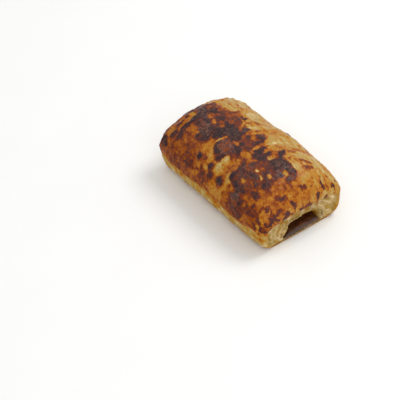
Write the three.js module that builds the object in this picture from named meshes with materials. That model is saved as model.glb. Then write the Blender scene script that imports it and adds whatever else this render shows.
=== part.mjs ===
import * as THREE from 'three';

// A rectangular pain au chocolat: a crowned roll of laminated dough, folded over a flat slab of
// chocolate that runs from one open end to the other. Millimetres, +Z up, resting on z = 0.
// Its length lies on X. The crust is darkest over the middle and the -Y flank, palest on +Y.

// Size of the whole roll
const LENGTH = 118;
const WIDTH = 73;
const HEIGHT = 45;

// Outer form
const BELT_HEIGHT = 19;        // where the browned crust ends and the pale lower wall begins
const CROWN_POWER = 2.2;       // squareness of a section above the belt
const FLANK_POWER = 3.6;       // squareness of a section below the belt
const FLOOR_SINK = 2.5;        // how far a section would reach below the flat base
const END_DROP = 21.5;         // fall of the crust from the crown to its edge at either end
const FRONT_RADIUS = 31;       // length of that fall at the +X end
const FRONT_POWER = 2;
const BACK_RADIUS = 29;        // and at the blunter -X end
const BACK_POWER = 3.3;
const RIDGE_SAG = 0.6;         // the ridge falls this much from the middle to the ends
const END_TAPER = 3.4;         // each flank comes in this much at the ends
const PLAN_RADIUS = 18;        // over this length
const LIP_ROUND = 2.2;         // and this much more at the very edge of an end
const LIP_REACH = 4;
const END_UNDERCUT = 3;        // the ends come in this much at the base
const UNDERCUT_HEIGHT = 9;
const UNDERCUT_REACH = 22;
const WALL_INSET = 0.9;        // the pale wall stands back this much under the crust's edge
const WALL_FADE = 3;           // height of that step
const BELT_WAVE = 1.2;         // rise and fall of the step along a flank
const CROWN_SOFT = 2;          // swellings on the ridge level off over this much of the height
const LIP_FADE = 8;            // the relief dies away over this much of the length at either end

// Mouth: the open end of the roll, which narrows inwards to the filling's own size
const MOUTH_DEPTH = 9;
const MOUTH_HALF_WIDTH = 17;
const MOUTH_TOP = 17;
const MOUTH_POWER = 2.4;
const FRONT_MOUTH_SHIFT = 1.5;   // sideways place of the mouth at each end
const BACK_MOUTH_SHIFT = -2;

// Filling: one flat slab from end to end
const FILLING_BOTTOM = 3;
const FILLING_TOP = 8.6;
const FILLING_HALF_WIDTH = 15;
const FILLING_POWER = 3;
const FILLING_SETBACK = 1.3;     // behind the roll's own ends
const FILLING_BULGE = 1.1;       // of each end face
const FILLING_LUMP = 0.35;
const CLEARANCE = 0.3;           // between the dough and the filling

// Lumps of the crust: place, reach along X and Y, and height, in millimetres
const SWELLS = [
  { x: -34, y: -8, reachX: 24, reachY: 19, height: 1.1 },     // back swelling, under the charred patch
  { x: 31, y: -14, reachX: 18, reachY: 17, height: 1.3 },     // front swelling
  { x: 9, y: -22, reachX: 8, reachY: 19, height: -1.3 },      // valley between the two
  { x: -2, y: -15, reachX: 9.5, reachY: 7.5, height: 1.5 },   // large blister
  { x: 38, y: 1, reachX: 8, reachY: 6, height: 0.8 },
  { x: 4, y: 8, reachX: 6, reachY: 4, height: 0.7 },
  { x: 25, y: 7, reachX: 5, reachY: 5, height: 0.7 },
  { x: -8, y: -2, reachX: 9, reachY: 6, height: 0.7 },
  { x: -37, y: -5, reachX: 6, reachY: 4, height: -0.6 },
  { x: -24, y: -5, reachX: 5, reachY: 4, height: -0.6 },
  { x: 25, y: -1, reachX: 5, reachY: 4, height: -0.6 },
  { x: 26, y: -25, reachX: 5, reachY: 5, height: -0.6 },
  { x: -15, y: -29, reachX: 4, reachY: 4, height: 0.7 },
  { x: 11, y: -33, reachX: 4.5, reachY: 4.5, height: 0.8 },
  { x: -18, y: 12, reachX: 4, reachY: 4, height: 0.5 },
  { x: 12, y: 28, reachX: 22, reachY: 9.5, height: 2 },       // full shoulder of the pale flank
];

// How finely each surface is divided
const CROWN_POINTS = 56;         // round a section, over the top
const BASE_POINTS = 28;          // and under it
const SKIN_STATIONS = 46;
const FACE_RINGS = 6;
const MOUTH_RINGS = 3;
const TUNNEL_RINGS = 2;
const SLAB_TOP_POINTS = 26;
const SLAB_BASE_POINTS = 14;
const FILLING_STATIONS = 10;

const HALF_LENGTH = LENGTH / 2;

function clamp(value, low, high) {
  return Math.min(Math.max(value, low), high);
}

function smoothStep(low, high, value) {
  const t = clamp((value - low) / (high - low), 0, 1);
  return t * t * (3 - 2 * t);
}

function signedPower(value, power) {
  return Math.sign(value) * Math.abs(value) ** power;
}

// 0 further than reach from an end, rising to 1 at the end
function endRound(distance, reach, power) {
  const t = clamp(1 - distance / reach, 0, 1);
  return 1 - (1 - t ** power) ** (1 / power);
}

// Parameters between two limits that stand at equal steps along a curve
function evenSteps(curve, from, to, count) {
  const samples = 1600;
  const lengths = [0];
  let previous = curve(from);
  for (let i = 1; i <= samples; i++) {
    const point = curve(from + (to - from) * i / samples);
    lengths.push(lengths[i - 1] + point.distanceTo(previous));
    previous = point;
  }
  const steps = [];
  let at = 0;
  for (let k = 0; k < count; k++) {
    const wanted = lengths[samples] * k / (count - 1);
    while (at < samples - 1 && lengths[at + 1] < wanted) at++;
    const share = (wanted - lengths[at]) / (lengths[at + 1] - lengths[at]);
    steps.push(from + (to - from) * (at + share) / samples);
  }
  return steps;
}

// Angles round a closed section, evenly spaced over its top and, apart from that, under it
function anglesRound(section, topPoints, basePoints) {
  const top = evenSteps(section, 0, Math.PI, topPoints + 1);
  const base = evenSteps(section, Math.PI, 2 * Math.PI, basePoints + 1);
  return [...top.slice(0, -1), ...base.slice(0, -1)];
}

// The ends lean in towards the base
function undercut(point) {
  const reach = smoothStep(HALF_LENGTH - UNDERCUT_REACH, HALF_LENGTH, Math.abs(point.x));
  const lift = clamp(1 - point.z / UNDERCUT_HEIGHT, 0, 1) ** 2;
  point.x -= Math.sign(point.x) * END_UNDERCUT * reach * lift;
  return point;
}

// Smooth outer form: x along the roll, angle round it from the +Y flank over the crown
function smoothSkin(x, angle) {
  const front = HALF_LENGTH - x;
  const back = HALF_LENGTH + x;
  const fall = endRound(front, FRONT_RADIUS, FRONT_POWER) + endRound(back, BACK_RADIUS, BACK_POWER);
  const taper = endRound(front, PLAN_RADIUS, 2) + endRound(back, PLAN_RADIUS, 2);
  const lip = endRound(front, LIP_REACH, 2) + endRound(back, LIP_REACH, 2);
  const crown = HEIGHT - END_DROP * fall - RIDGE_SAG * (x / HALF_LENGTH) ** 2;
  const half = WIDTH / 2 - END_TAPER * taper - LIP_ROUND * lip;
  const along = Math.cos(angle);
  const over = Math.sin(angle);
  if (over >= 0) {
    const y = half * signedPower(along, 2 / CROWN_POWER);
    return new THREE.Vector3(x, y, BELT_HEIGHT + (crown - BELT_HEIGHT) * over ** (2 / CROWN_POWER));
  }
  const y = half * signedPower(along, 2 / FLANK_POWER);
  const depth = (BELT_HEIGHT + FLOOR_SINK) * (-over) ** (2 / FLANK_POWER);
  return new THREE.Vector3(x, y, Math.max(0, BELT_HEIGHT - depth));
}

function skinNormal(x, angle) {
  const step = 0.02;
  const inside = clamp(x, -HALF_LENGTH + 1, HALF_LENGTH - 1);
  const alongX = smoothSkin(inside + step * 10, angle).sub(smoothSkin(inside - step * 10, angle));
  const round = smoothSkin(inside, angle + step).sub(smoothSkin(inside, angle - step));
  return round.cross(alongX).normalize();
}

// Swellings on the ridge level off just under the roll's height
function levelled(z) {
  const over = Math.max(0, z - (HEIGHT - CROWN_SOFT));
  return z - over + CROWN_SOFT * Math.tanh(over / CROWN_SOFT);
}

// Height of the crust's lumps, folds and long creases over the smooth form
function crustRelief(x, y) {
  let height = 0;
  for (const swell of SWELLS) {
    const away = ((x - swell.x) / swell.reachX) ** 2 + ((y - swell.y) / swell.reachY) ** 2;
    if (away < 1) height += swell.height * (1 - away) ** 2;
  }
  const backEnd = 1 - smoothStep(-46, -38, x);
  height += 0.5 * backEnd * Math.sin((x + 0.012 * y * y) * 1.15);
  const paleFlank = smoothStep(8, 18, y);
  height += 0.4 * paleFlank * Math.sin(0.72 * y + 0.07 * x + 0.6 * Math.sin(0.09 * x));
  height += 0.45 * Math.sin(0.105 * x + 0.08 * y + 1.1) * Math.sin(0.13 * y - 0.06 * x);
  height += 0.3 * Math.sin(0.21 * x - 0.17 * y) * Math.sin(0.19 * y + 0.13 * x + 2);
  return height;
}

function doughSkin(x, angle) {
  const point = smoothSkin(x, angle);
  const belt = BELT_HEIGHT - BELT_WAVE * (1 + Math.sin(0.1 * x + Math.sign(point.y)));
  const crust = smoothStep(belt - WALL_FADE, belt, point.z);
  const calm = smoothStep(HALF_LENGTH - LIP_FADE, HALF_LENGTH, Math.abs(x));
  const relief = (crust * crustRelief(x, point.y) - WALL_INSET * (1 - crust)) * (1 - calm);
  const normal = skinNormal(x, angle);
  if (point.z === 0) return undercut(point);
  point.addScaledVector(normal, relief);
  point.x = x;
  point.z = levelled(Math.max(0, point.z));
  return undercut(point);
}

// The mouth at a depth behind an end: open at the face, and as small as the filling behind it
function mouthPoint(end, inward, angle) {
  const narrow = smoothStep(0, 1, inward);
  const shift = (end > 0 ? FRONT_MOUTH_SHIFT : BACK_MOUTH_SHIFT) * (1 - narrow);
  const innerTop = FILLING_TOP + CLEARANCE;
  const innerHalf = FILLING_HALF_WIDTH + CLEARANCE;
  const bottom = FILLING_BOTTOM - CLEARANCE;
  const top = MOUTH_TOP + (innerTop - MOUTH_TOP) * narrow;
  const half = MOUTH_HALF_WIDTH + (innerHalf - MOUTH_HALF_WIDTH) * narrow;
  const power = MOUTH_POWER + (FILLING_POWER - MOUTH_POWER) * narrow;
  return slabPoint(end * (HALF_LENGTH - MOUTH_DEPTH * inward), angle, shift, half, bottom, top, power);
}

// A flat oval section with its widest line a third of the way up
function slabPoint(x, angle, shift, half, bottom, top, topPower) {
  const middle = bottom + (FILLING_TOP - bottom) / 3;
  const over = Math.sin(angle);
  const rise = over >= 0 ? top - middle : middle - bottom;
  const power = over >= 0 ? topPower : FILLING_POWER;
  const y = shift + half * signedPower(Math.cos(angle), 2 / power);
  return new THREE.Vector3(x, y, middle + rise * signedPower(over, 2 / power));
}

// A point of an open end, between the skin (share 0) and the mouth (share 1). The leaves of dough
// stand out and draw back by turns.
function facePoint(end, share, skinAngle, mouthAngle) {
  const outer = doughSkin(end * HALF_LENGTH, skinAngle);
  const inner = mouthPoint(end, 0, mouthAngle);
  const point = new THREE.Vector3(0, outer.y, outer.z).lerp(new THREE.Vector3(0, inner.y, inner.z), share);
  const leaf = Math.sin(Math.PI * share * FACE_RINGS) >= 0 ? 1 : 0;
  const drawn = 0.5 + 0.7 * leaf + 0.3 * Math.sin(3 * skinAngle + 5 * share + end);
  point.x = end * (HALF_LENGTH - drawn * Math.sin(Math.PI * Math.min(share * 2, 1) / 2));
  return undercut(point);
}

// Rings of points, each joined to the next; the last ring joins the first unless the ends are capped
function ringMesh(rings, capped) {
  const around = rings[0].length;
  const positions = [];
  for (const ring of rings) {
    for (const point of ring) positions.push(point.x, point.y, point.z);
  }
  const faces = [];
  const joins = capped ? rings.length - 1 : rings.length;
  for (let r = 0; r < joins; r++) {
    const next = (r + 1) % rings.length;
    for (let k = 0; k < around; k++) {
      const beside = (k + 1) % around;
      const a = r * around + k;
      const b = r * around + beside;
      const c = next * around + beside;
      const d = next * around + k;
      faces.push(a, b, c, a, c, d);
    }
  }
  if (capped) {
    for (const [ring, outward] of [[0, -1], [rings.length - 1, 1]]) {
      const centre = new THREE.Vector3();
      for (const point of rings[ring]) centre.addScaledVector(point, 1 / around);
      const hub = positions.length / 3;
      positions.push(centre.x, centre.y, centre.z);
      for (let k = 0; k < around; k++) {
        const a = ring * around + k;
        const b = ring * around + (k + 1) % around;
        if (outward > 0) faces.push(hub, a, b);
        else faces.push(hub, b, a);
      }
    }
  }
  const geometry = new THREE.BufferGeometry();
  geometry.setAttribute('position', new THREE.Float32BufferAttribute(positions, 3));
  geometry.setIndex(faces);
  return geometry;
}

function enclosedVolume(geometry) {
  const position = geometry.getAttribute('position');
  const index = geometry.getIndex();
  const a = new THREE.Vector3();
  const b = new THREE.Vector3();
  const c = new THREE.Vector3();
  let volume = 0;
  for (let i = 0; i < index.count; i += 3) {
    a.fromBufferAttribute(position, index.getX(i));
    b.fromBufferAttribute(position, index.getX(i + 1));
    c.fromBufferAttribute(position, index.getX(i + 2));
    volume += a.dot(b.cross(c)) / 6;
  }
  return volume;
}

// Turns every face round if the solid came out inside out
function facingOut(geometry) {
  if (enclosedVolume(geometry) < 0) {
    const index = geometry.getIndex();
    for (let i = 0; i < index.count; i += 3) {
      const swap = index.getX(i + 1);
      index.setX(i + 1, index.getX(i + 2));
      index.setX(i + 2, swap);
    }
  }
  geometry.computeVertexNormals();
  return geometry;
}

// Trues every body to the named size, standing on z = 0 and centred on the Z axis
function trueToSize(outer, bodies) {
  outer.computeBoundingBox();
  const size = outer.boundingBox.getSize(new THREE.Vector3());
  const middle = outer.boundingBox.getCenter(new THREE.Vector3());
  const bottom = outer.boundingBox.min.z;
  for (const body of bodies) {
    body.translate(-middle.x, -middle.y, -bottom);
    body.scale(LENGTH / size.x, WIDTH / size.y, HEIGHT / size.z);
  }
}

function doughGeometry() {
  const skinAngles = anglesRound(a => smoothSkin(0, a), CROWN_POINTS, BASE_POINTS);
  const mouthAngles = anglesRound(a => mouthPoint(1, 1, a), CROWN_POINTS, BASE_POINTS);
  const faceRing = (end, ring) => {
    const share = (ring - 0.5) / FACE_RINGS;
    return skinAngles.map((a, k) => facePoint(end, share, a, mouthAngles[k]));
  };
  const mouthRing = (end, ring) => {
    const inward = 0.1 + 0.9 * ring / MOUTH_RINGS;
    return mouthAngles.map(a => undercut(mouthPoint(end, inward, a)));
  };
  const ridge = t => smoothSkin(HALF_LENGTH * Math.sin(t), Math.PI / 2);
  const stations = evenSteps(ridge, -Math.PI / 2, Math.PI / 2, SKIN_STATIONS);
  const rings = stations.map(t => skinAngles.map(a => doughSkin(HALF_LENGTH * Math.sin(t), a)));
  for (let i = 1; i <= FACE_RINGS; i++) rings.push(faceRing(1, i));
  for (let i = 0; i <= MOUTH_RINGS; i++) rings.push(mouthRing(1, i));
  for (let i = 1; i <= TUNNEL_RINGS; i++) {
    const x = (HALF_LENGTH - MOUTH_DEPTH) * (1 - 2 * i / (TUNNEL_RINGS + 1));
    rings.push(mouthAngles.map(a => mouthPoint(1, 1, a).setX(x)));
  }
  for (let i = MOUTH_RINGS; i >= 0; i--) rings.push(mouthRing(-1, i));
  for (let i = FACE_RINGS; i >= 1; i--) rings.push(faceRing(-1, i));
  return facingOut(ringMesh(rings, false));
}

function fillingPoint(x, angle) {
  const point = slabPoint(x, angle, 0, FILLING_HALF_WIDTH, FILLING_BOTTOM, FILLING_TOP, FILLING_POWER);
  const open = smoothStep(HALF_LENGTH - MOUTH_DEPTH * 0.6, HALF_LENGTH, Math.abs(x));
  const top = Math.max(0, Math.sin(angle));
  point.z += open * top * FILLING_LUMP * (1 + Math.sin(0.42 * point.y + Math.sign(x)));
  return point;
}

function fillingGeometry() {
  const angles = anglesRound(a => fillingPoint(0, a), SLAB_TOP_POINTS, SLAB_BASE_POINTS);
  const end = HALF_LENGTH - FILLING_SETBACK;
  const rings = [];
  for (let i = 0; i <= FILLING_STATIONS; i++) {
    const x = end * Math.sin(Math.PI * (i / FILLING_STATIONS - 0.5));
    rings.push(angles.map(a => undercut(fillingPoint(x, a))));
  }
  const middle = new THREE.Vector3(0, 0, (FILLING_BOTTOM + FILLING_TOP) / 2);
  const domed = (ring, side) => {
    const caps = [];
    for (const inward of [0.12, 0.45]) {
      caps.push(ring.map(point => {
        const target = middle.clone().setX(point.x);
        const moved = point.clone().lerp(target, inward);
        moved.x += side * FILLING_BULGE * Math.sqrt(inward);
        return moved;
      }));
    }
    return caps;
  };
  const back = domed(rings[0], -1).reverse();
  const front = domed(rings[rings.length - 1], 1);
  return facingOut(ringMesh([...back, ...rings, ...front], true));
}

function piece(name, geometry, color, roughness) {
  const material = new THREE.MeshStandardMaterial({ color, roughness, metalness: 0 });
  const mesh = new THREE.Mesh(geometry, material);
  mesh.name = name;
  return mesh;
}

const dough = doughGeometry();
const filling = fillingGeometry();
trueToSize(dough, [dough, filling]);

const painAuChocolat = new THREE.Group();
painAuChocolat.add(piece('pastry', dough, '#a5672c', 0.5));
painAuChocolat.add(piece('chocolate_filling', filling, '#2e1a12', 0.4));

export default painAuChocolat;
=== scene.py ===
import math

import bmesh
import bpy
import numpy as np
from mathutils import Matrix, Vector, noise


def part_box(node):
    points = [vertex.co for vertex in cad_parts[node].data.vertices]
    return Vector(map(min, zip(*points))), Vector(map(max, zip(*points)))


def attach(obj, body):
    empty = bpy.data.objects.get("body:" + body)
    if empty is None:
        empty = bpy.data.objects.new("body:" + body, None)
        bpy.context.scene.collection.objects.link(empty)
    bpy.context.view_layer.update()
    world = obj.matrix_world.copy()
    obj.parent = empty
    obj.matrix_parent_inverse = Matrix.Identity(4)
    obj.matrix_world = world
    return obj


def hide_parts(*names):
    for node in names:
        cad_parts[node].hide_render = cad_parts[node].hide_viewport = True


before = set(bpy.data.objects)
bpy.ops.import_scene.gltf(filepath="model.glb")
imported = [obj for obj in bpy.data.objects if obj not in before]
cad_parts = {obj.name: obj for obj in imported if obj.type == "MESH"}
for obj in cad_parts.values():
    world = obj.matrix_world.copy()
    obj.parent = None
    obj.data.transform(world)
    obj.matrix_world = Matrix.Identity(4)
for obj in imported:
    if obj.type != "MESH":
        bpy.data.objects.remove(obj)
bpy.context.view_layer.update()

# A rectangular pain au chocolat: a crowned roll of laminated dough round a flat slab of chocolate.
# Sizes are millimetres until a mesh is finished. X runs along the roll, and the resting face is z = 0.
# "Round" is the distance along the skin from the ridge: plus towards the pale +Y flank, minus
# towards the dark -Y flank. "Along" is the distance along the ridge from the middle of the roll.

MM = 0.001

# ---------------------------------------------------------------- size and outer form

cad_low, cad_high = (np.array(corner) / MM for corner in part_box("pastry"))
LENGTH, WIDTH, HEIGHT = cad_high - cad_low
HALF_LENGTH = LENGTH / 2

BELT_HEIGHT = 19          # where the browned crust ends and the pale lower wall begins
CROWN_POWER = 2.2
FLANK_POWER = 3.6
FLOOR_SINK = 2.5
END_DROP = 21.5
FRONT_RADIUS = 31
FRONT_POWER = 2
BACK_RADIUS = 29
BACK_POWER = 3.3
RIDGE_SAG = 0.6
END_TAPER = 3.4
PLAN_RADIUS = 18
LIP_ROUND = 2.2
LIP_REACH = 4
END_UNDERCUT = 3
UNDERCUT_HEIGHT = 9
UNDERCUT_REACH = 22
WALL_INSET = 0.9
WALL_FADE = 3
BELT_WAVE = 1.2
CROWN_SOFT = 2            # swellings on the ridge level off over this much of the height
LIP_FADE = 18             # the relief calms down towards the open ends
LIP_RELIEF = 0.2

FOLDED_END = (-46, -38)   # fine folds cross the back end up to here
FOLD_HEIGHT = 0.3
FOLD_RATE = 1.15          # radians of a fold for each millimetre along
FOLD_BOW = 0.012          # how much the folds bend back towards the flanks
FLAKE_HEIGHT = 0.28
WALL_LEAF = 2.6           # height of one leaf of dough in the pale wall

FACE_TRAVEL = 9           # how far the path along the roll runs on across an open end
LEAF_TURNS = 3.4          # leaves of dough between an end's lip and its mouth
TEAR_DEPTH = 3.2          # how deep an open end is torn between its leaves
SILL_HEIGHTS = (3, 6)     # the tearing is shallow below the first height and full above the second
SILL_TEAR = 1.3
LIP_DEPTHS = (0.03, 0.14)     # the crust's lip ends between these depths, as dough_rows counts them
MOUTH_DEPTHS = (1.1, 1.7)     # the mouth's torn skin turns smooth between these

MOUTH_DEPTH = 9
MOUTH_HALF_WIDTH = 17
MOUTH_TOP = 17
MOUTH_POWER = 2.4
MOUTH_SHIFT = {1: 1.5, -1: -2}

FILLING_BOTTOM = 3
FILLING_TOP = 8.6
FILLING_HALF_WIDTH = 15
FILLING_POWER = 3
FILLING_SETBACK = 1.3
FILLING_BULGE = 1.1
FILLING_END_STEEPNESS = 9     # the slab keeps its full section until close to its ends
FILLING_END_POWER = 0.45
CLEARANCE = 0.3

# Columns of the dough's grid round a section, and its rows along the roll
CROWN_COLUMNS = 212
BASE_COLUMNS = 88
FLOOR_WEIGHT = 0.35       # the flat base needs fewer columns than the walls
CORNER_SHARE = 0.76       # the mouth's lower corners take as many columns as the walls outside them
CORNER_WEIGHT = 4
SKIN_ROWS = 230
FACE_ROWS = 26
MOUTH_ROWS = 12
TUNNEL_ROWS = 2
FILLING_COLUMNS = 120
FILLING_ROWS = 150

# Lumps of the crust: along, across, reach along, reach across, height
SWELLS = [
    (-34, -8, 24, 19, 1.1),      # back swelling, under the charred patch
    (31, -14, 18, 17, 1.3),      # front swelling
    (9, -22, 8, 19, -1.3),       # valley between the two
    (-2, -15, 9.5, 7.5, 1.5),    # large blister
    (38, 1, 8, 6, 0.8),
    (4, 8, 6, 4, 0.7),
    (25, 7, 5, 5, 0.7),
    (-8, -2, 9, 6, 0.7),
    (-37, -5, 6, 4, -0.6),
    (-24, -5, 5, 4, -0.6),
    (25, -1, 5, 4, -0.6),
    (26, -25, 5, 5, -0.6),
    (-15, -29, 4, 4, 0.7),
    (11, -33, 4.5, 4.5, 0.8),
    (-18, 12, 4, 4, 0.5),
    (12, 28, 22, 9.5, 2.0),      # full shoulder of the pale flank
]

# ---------------------------------------------------------------- how the oven coloured the crust
# Browning runs from 0, pale dough, through straw, amber and red-brown, to 1, charred.
# Each mark: along, round, reach along, reach round, turn in degrees, browning, lift of the skin.
# Later marks lie over earlier ones.

EDGE_SOFT = 0.45          # half the width of a mark's edge, to which a share of its size is added
EDGE_SHARE = 0.12
HALO_REACH = 0.3          # how far round a dark mark the crust has browned
HALO_SHARE = 0.36
HALO_BROWNING = 0.62
BROAD_STRENGTH = 0.85     # how far a broad mark hides the crust under it

# Browning at places round the roll before any mark is laid: on the main crust, and on the end slopes
BASE_ROUND = [-50, -40, -26, -14, -9, 4, 8, 13, 36, 48]
BASE_BROWNING = [0.56, 0.50, 0.43, 0.50, 0.64, 0.60, 0.36, 0.24, 0.24, 0.32]
SLOPE_ROUND = [-40, -10, 20, 40]
SLOPE_BROWNING = [0.50, 0.44, 0.30, 0.28]

FRONT_SLOPE = (45, 55)    # distances along, from the middle, where the crust turns down to an end
BACK_SLOPE = (51, 60)
LOW_DARK_FLANK = (22, 30)     # distances round from the ridge over which this part begins
PALE_FLANK = (8, 12)          # and this one
GLAZE_FULL = 26           # the egg wash is whole this far round from the ridge
GLAZE_END = 42            # and has thinned out to nothing this far round

PATCH_BROWNING = 0.76
SPOT_BROWNING = 0.72
LIP_BROWNING = 0.30
TUNNEL_BROWNING = 0.34
BASE_CRUMB = 0.35         # how dull the flat base is: 0 as crust, 1 as crumb

BROAD_MARKS = [
    (-30, -32, 22, 10, 0, 0.60, 0),         # orange-brown back flank
    (-34, -20, 5, 4, -10, 0.56, 0),
    # red-brown low on the back flank, made darker still with painted shade
    (-32, -46, 18, 6.5, 0, 0.65, 0),
    (-53, -19, 4, 9, 0, 0.70, 0),
    (-14, -24, 6, 6, 20, 0.44, 0),
    (-14, -40, 4.5, 8, 0, 0.42, 0),
    (-4, -43, 6.5, 6, 0, 0.64, 0),
    (2.4, -29, 5.4, 12, 0, 0.27, 0),         # bright valley
    (8, -14, 5, 6, 0, 0.44, 0),
    (10.4, -22, 3.8, 12, 0, 0.50, 0),
    (9, -45, 8, 6, 0, 0.34, 0),
    (15, -36, 4.5, 7, 0, 0.33, 0),
    (20.5, -43, 4, 6, 0, 0.48, 0),
    (30, -16, 16, 17, 0, 0.74, 0),         # front swelling
    (31, -42, 9.5, 10, 0, 0.74, 0),
    (47, -15, 3.4, 12, 0, 0.52, 0),
    (-30, 6, 18, 4.5, 3, 0.62, 0),
    (-26, 9.5, 6.5, 4.2, 0, 0.66, 0),
    (-34, -10, 22, 8.5, 0, 0.78, 0),       # charred band of the back swelling
    (0, -2, 14, 7, 0, 0.70, 0),
    (22, -2, 12, 6, 0, 0.70, 0),
    (39, 0, 10, 7.4, 0, 0.80, 0),
]

DARK_MARKS = [
    # charred band of the back swelling
    (-46, -4, 6.5, 3.6, -12, 0.95, 0.3),
    (-40, -8, 7, 4, -25, 0.97, 0.4),
    (-40, 1, 4, 3.2, 0, 0.92, 0.3),
    (-29, 0, 3.4, 2.6, -30, 0.92, 0.3),
    (-33, -12, 6.5, 3.8, -25, 0.92, 0.4),
    (-27, -15.5, 5.5, 4.5, -20, 0.86, 0.4),
    (-24, -20.5, 5, 3.6, 15, 0.84, 0.3),
    (-20, -12, 5, 4, -20, 0.90, 0.3),
    (-33, 4, 4, 2, -20, 0.74, 0.1),
    (-38, 6, 2.5, 2, 0, 0.64, 0),
    (-46, 5, 2.5, 3.5, 20, 0.74, 0.1),
    (-50, 0, 3, 3.5, 0, 0.74, 0.1),
    (-42, -14, 2.4, 6, 0, 0.93, 0.3),
    (-41.5, -23, 2.2, 7, 0, 0.88, 0.3),
    (-40.5, -30, 2.2, 3, 0, 0.78, 0.1),
    (-48.5, -13, 1.6, 5, 5, 0.78, 0.2),
    (-48, -22, 1.6, 5, 5, 0.80, 0.2),
    (-46.5, -31, 1.8, 4, 0, 0.80, 0.2),
    (-52, -40, 4.5, 4.5, 0, 0.86, 0.2),
    (-36, -25, 3, 1.6, 0, 0.64, 0),
    # middle of the ridge
    (-19, -1, 5, 4, -20, 0.93, 0.3),
    (-13, -3.5, 6.5, 6, 0, 1.00, 0.4),
    (-7, -6, 5, 4.5, 0, 0.93, 0.3),
    (-8, 4.5, 2.4, 4, -10, 0.93, 0.3),
    (-20, 8, 2.2, 2, 0, 0.80, 0.2),
    (-22.5, 5, 3, 1.2, 10, 0.80, 0.1),
    (4, 8, 3.8, 2.6, -5, 0.94, 0.4),
    (-1, 3, 1.6, 3, -20, 0.82, 0.2),
    (7, 1, 2.4, 3, 0, 0.84, 0.3),
    (8, -6, 4, 2.4, 0, 0.80, 0.2),
    (2, -6.5, 4, 2.4, 0, 0.78, 0.2),
    (14.5, 1.5, 1.6, 4.4, 6, 0.93, 0.3),
    (20, 1, 2, 3.6, 0, 0.92, 0.3),
    (26.5, 8, 1.9, 4.4, 28, 0.94, 0.4),
    (16, -4.5, 6.5, 3.4, -8, 0.96, 0.4),
    (22, -6, 4, 3, 0, 0.92, 0.3),
    # large blister and what hangs on it
    (-4.4, -16, 8.4, 6.6, -8, 0.75, 0.3),
    (4, -15, 5.2, 4.2, 20, 0.74, 0.2),
    (-10.6, -17, 1.8, 5, 8, 0.84, 0.2),
    (-6, -22, 5, 1.8, -8, 0.84, 0.3),
    (1, -20, 3.4, 2, 25, 0.82, 0.2),
    (-2, -25, 2.2, 2.6, 0, 0.80, 0.2),
    (3.5, -11, 5, 2.6, -25, 0.84, 0.3),
    (0.5, -23.4, 2.6, 3, 0, 0.78, 0.1),
    # front swelling
    (34, 1, 7, 5.4, 0, 0.92, 0.5),
    (28.5, 1, 3, 3, 0, 0.88, 0.3),
    (43, 4, 2.6, 3, 0, 0.82, 0.2),
    (40, -6, 4, 3, 0, 0.80, 0.2),
    (30, -7, 6, 3.4, 0, 0.76, 0.2),
    (24, -11, 5, 3.4, -10, 0.70, 0.2),
    (18, -21, 2.6, 6, 0, 0.80, 0.4),
    (17.5, -28, 3, 2.6, -20, 0.82, 0.3),
    (24, -31, 6, 2.2, -12, 0.84, 0.4),
    (31, -31, 3.4, 2.4, 0, 0.82, 0.3),
    (24, -22, 4, 3.4, 0, 0.80, 0.3),
    (32, -21, 5, 4, 0, 0.82, 0.3),
    (40, -18, 4.4, 3.6, 0, 0.86, 0.4),
    (41, -27, 4.4, 2.4, 0, 0.82, 0.3),
    (28, -36, 2.8, 3.2, -10, 0.92, 0.4),
    (33, -38, 3.4, 3, 0, 0.80, 0.2),
    (44, -37, 5, 5, 0, 0.72, 0.2),
    # single spots down the dark flank
    (-15, -31.2, 2.3, 2.3, 0, 1.00, 0.5),
    (-9.3, -30.4, 1.2, 1.1, 0, 0.80, 0.2),
    (-2, -32.6, 2.3, 2.2, 0, 0.80, 0.4),
    (1.4, -37.4, 2.5, 2.6, 0, 0.79, 0.4),
    (10.8, -36.4, 3.4, 3.5, 0, 0.80, 0.5),
    (10.8, -36.6, 1.6, 1.6, 0, 0.90, 0.2),
    (-9, -37.6, 3.4, 1.8, 10, 0.74, 0.2),
    (-5, -43, 3.6, 3, 0, 0.66, 0.2),
    (-12.5, -38.5, 1.4, 1.8, 0, 0.70, 0.1),
    (-7, -41, 5, 0.7, 35, 0.70, 0.1),
    (-2, -44.5, 5, 0.7, 40, 0.72, 0.1),
    (-11, -45.5, 4, 0.7, 30, 0.66, 0.1),
    (20.5, -34.5, 2.6, 1.6, 20, 0.58, 0.1),
    (-26, -31.5, 2.4, 2, 0, 0.66, 0.1),
    (-27, -36, 2.6, 1.2, 0, 0.70, 0.1),
    (-23.5, -35, 1.6, 1, 0, 0.68, 0.1),
    (-21, -41, 4, 3, 0, 0.74, 0.2),
    (-31, -42, 5, 2.4, 0, 0.68, 0.1),
    # brown places on the pale flank
    (-19.3, 12.4, 1.6, 1.6, 0, 0.98, 0.3),
    (-13, 13.4, 1.7, 3.2, -25, 0.46, 0),
    (-33.5, 27, 1.6, 2.6, -23, 0.42, 0),
    (-28.9, 15, 0.8, 2.0, -20, 0.58, 0.1),
    (-2.2, 11, 1.4, 2.2, -25, 0.52, 0),
    (4, 20, 4.2, 8.5, -23, 0.35, 0),
    (6.5, 32.5, 1.5, 2.2, -23, 0.84, 0.2),
    (-8, 21, 1.1, 5, -25, 0.44, 0),
    (-14, 26, 1, 4, -25, 0.42, 0),
    (-12, 17.5, 3.6, 0.9, -8, 0.46, 0.1),
    (20.4, 12.5, 2.8, 6.5, -23, 0.37, 0),
    (27.5, 23.5, 0.9, 5, -40, 0.54, 0.1),
    (26.5, 16.8, 1.4, 3, -30, 0.60, 0.1),
    (39, 18.8, 1.2, 5, -33, 0.58, 0.1),
    (31, 31, 1.8, 4, -35, 0.46, 0),
    (44.4, 17, 2.2, 3.6, 0, 0.66, 0.1),
    (41, 13.6, 4, 1.1, 0, 0.46, 0),
    (32.4, 9.4, 1.2, 2.8, 20, 0.48, 0),
]

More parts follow.
